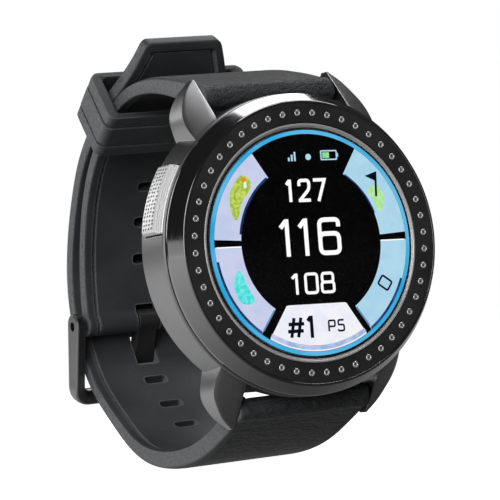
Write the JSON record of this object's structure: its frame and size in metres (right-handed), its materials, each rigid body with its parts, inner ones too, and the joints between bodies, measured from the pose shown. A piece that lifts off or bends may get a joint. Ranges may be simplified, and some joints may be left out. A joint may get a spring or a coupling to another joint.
{
  "type": "golf gps watch",
  "caption": "Round golf GPS watch with studded bezel, colour screen, side button and buckled silicone strap closed in a loop.",
  "frame": {"origin": "centre of the case back's flat face", "axes": "+X to 3 o'clock, +Z to 12 o'clock, dial faces -Y, +Y out of the case back"},
  "size_m": [0.0452, 0.0651, 0.0673],
  "materials": {
    "case": "satin brushed gunmetal",
    "bezel": "glossy dark gunmetal",
    "insert": "matt black",
    "stud": "polished",
    "trim": "polished",
    "button": "knurled silver",
    "glass": "clear",
    "screen": "lit colour screen",
    "diffuser": "white diffuser",
    "plastic": "moulded black",
    "silicone": "matt charcoal silicone",
    "seal": "black seal",
    "buckle": "dark satin gunmetal",
    "steel": "plain steel",
    "contact": "gold plated",
    "board": "green solder mask",
    "shield": "tinned",
    "antenna": "copper on film",
    "flex": "amber film",
    "cell": "foil pouch"
  },
  "bodies": {
    "case": {"case_body": "case", "bezel_ring": "bezel", "bezel_insert": "insert", "bezel_studs": "stud", "inner_trim_ring": "trim", "case_gasket": "seal", "glass_lens": "glass", "lens_gasket": "seal", "display_panel": "screen", "display_backlight": "diffuser", "display_frame": "plastic", "display_flex": "flex", "main_board": "board", "board_shields": "shield", "gps_antenna": "antenna", "battery_tray": "plastic", "battery": "cell", "motor_housing": "steel", "button_sleeve": "steel", "button_spring": "steel", "button_switch": "plastic", "back_cover": "plastic", "back_gasket": "seal", "back_screws": "steel", "contact_carrier": "plastic", "charging_contacts": "contact", "upper_bar_tube": "steel", "upper_bar_spring": "steel", "lower_bar_tube": "steel", "lower_bar_spring": "steel", "strap_upper": "silicone", "strap_lower": "silicone", "buckle_bar": "buckle"},
    "button": {"button_cap": "button", "button_stem": "steel", "button_seals": "seal", "button_clip": "steel"},
    "motor_rotor": {"motor_shaft": "steel", "motor_weight": "steel"},
    "keeper": {"keeper": "silicone"},
    "buckle_frame": {"buckle_frame": "buckle"},
    "buckle_tongue": {"buckle_tongue": "buckle"},
    "upper_pin_left": {"upper_pin_left": "steel"},
    "upper_pin_right": {"upper_pin_right": "steel"},
    "lower_pin_left": {"lower_pin_left": "steel"},
    "lower_pin_right": {"lower_pin_right": "steel"}
  },
  "joints": [
    {"name": "button_press", "type": "slide", "parent": "case", "child": "button", "axis": [0.9239, 0, -0.3827], "range_m": [0, 0.0005], "stiffness_N_per_m": 1500, "springref_m": -0.0006, "deforming": ["button_spring"]},
    {"name": "motor_spin", "type": "hinge", "parent": "case", "child": "motor_rotor", "pos_m": [0.0124, -0.0044, 0], "axis": [0, 0, 1], "continuous": true},
    {"name": "keeper_slide", "type": "slide", "parent": "case", "child": "keeper", "axis": [0, -0.809, 0.5878], "range_m": [-0.0015, 0.0015]},
    {"name": "buckle_frame_swing", "type": "hinge", "parent": "case", "child": "buckle_frame", "pos_m": [0, 0.0455, -0.0077], "axis": [1, 0, 0], "range_deg": [0, 10]},
    {"name": "buckle_tongue_swing", "type": "hinge", "parent": "buckle_frame", "child": "buckle_tongue", "pos_m": [0, 0.0455, -0.0077], "axis": [1, 0, 0], "range_deg": [0, 10]},
    {"name": "upper_pin_left_press", "type": "slide", "parent": "case", "child": "upper_pin_left", "axis": [1, 0, 0], "range_m": [0, 0.001], "stiffness_N_per_m": 800, "springref_m": -0.0006, "deforming": ["upper_bar_spring"]},
    {"name": "upper_pin_right_press", "type": "slide", "parent": "case", "child": "upper_pin_right", "axis": [-1, 0, 0], "range_m": [0, 0.001], "stiffness_N_per_m": 800, "springref_m": -0.0006, "deforming": ["upper_bar_spring"]},
    {"name": "lower_pin_left_press", "type": "slide", "parent": "case", "child": "lower_pin_left", "axis": [1, 0, 0], "range_m": [0, 0.001], "stiffness_N_per_m": 800, "springref_m": -0.0006, "deforming": ["lower_bar_spring"]},
    {"name": "lower_pin_right_press", "type": "slide", "parent": "case", "child": "lower_pin_right", "axis": [-1, 0, 0], "range_m": [0, 0.001], "stiffness_N_per_m": 800, "springref_m": -0.0006, "deforming": ["lower_bar_spring"]}
  ]
}
